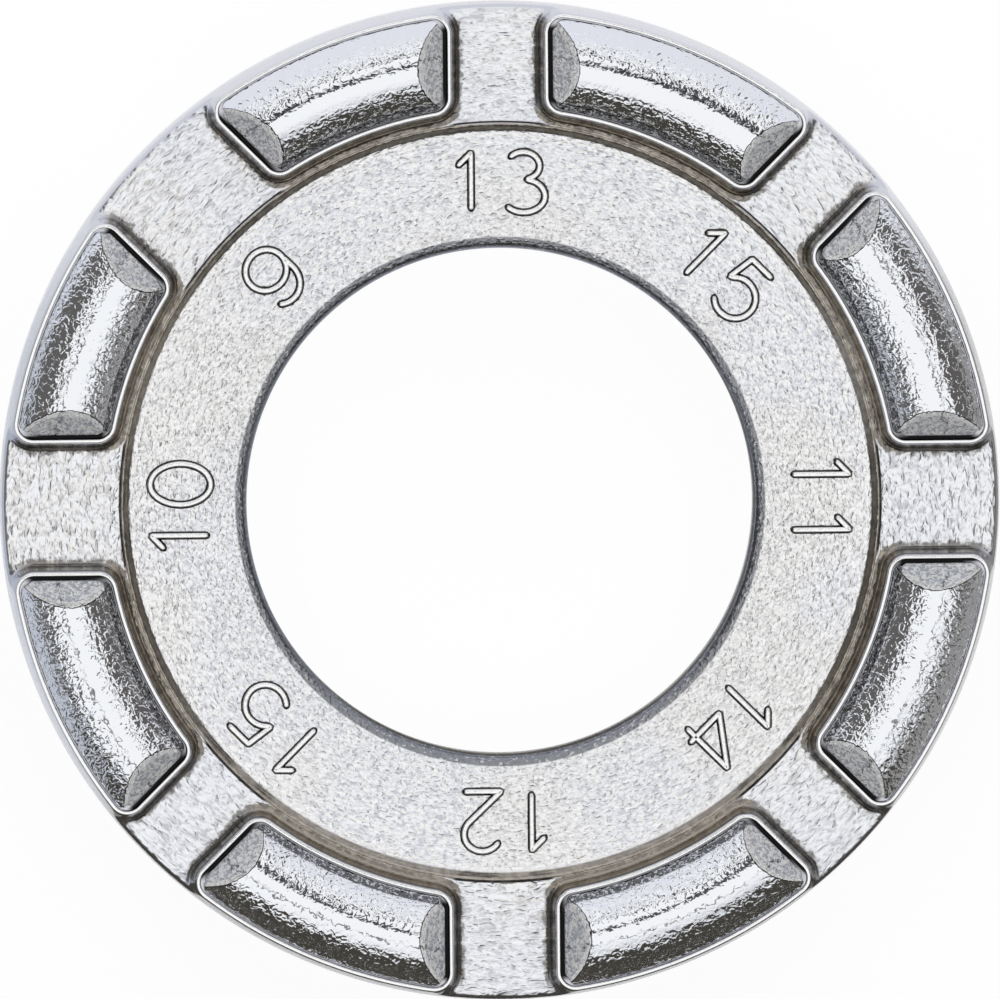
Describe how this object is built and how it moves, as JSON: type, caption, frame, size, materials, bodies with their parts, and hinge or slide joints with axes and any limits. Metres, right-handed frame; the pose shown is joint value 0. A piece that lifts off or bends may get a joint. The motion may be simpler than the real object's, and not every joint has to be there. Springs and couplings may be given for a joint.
{
  "type": "spoke wrench",
  "caption": "Flat ring spoke wrench with a finger hole, and raised pads on both faces that form nipple channels of graded widths.",
  "frame": {"origin": "centre of the ring, halfway through its thickness", "axes": "+Z out of the numbered front face, +X along the gauge 11 channel, +Y along the gauge 13 channel"},
  "size_m": [0.045, 0.045, 0.0076],
  "materials": {
    "plated_casting": "nickel chrome plate over a rough cast face",
    "polished_bar": "polished along the ring, fine streaks"
  },
  "bodies": {
    "root": {"ring_body": "plated_casting", "front_bar_11_15": "polished_bar", "front_bar_15_13": "polished_bar", "front_bar_13_9": "polished_bar", "front_bar_9_10": "polished_bar", "front_bar_10_15": "polished_bar", "front_bar_15_12": "polished_bar", "front_bar_12_14": "polished_bar", "front_bar_14_11": "polished_bar", "back_bar_11_15": "polished_bar", "back_bar_15_13": "polished_bar", "back_bar_13_9": "polished_bar", "back_bar_9_10": "polished_bar", "back_bar_10_15": "polished_bar", "back_bar_15_12": "polished_bar", "back_bar_12_14": "polished_bar", "back_bar_14_11": "polished_bar"}
  },
  "joints": []
}
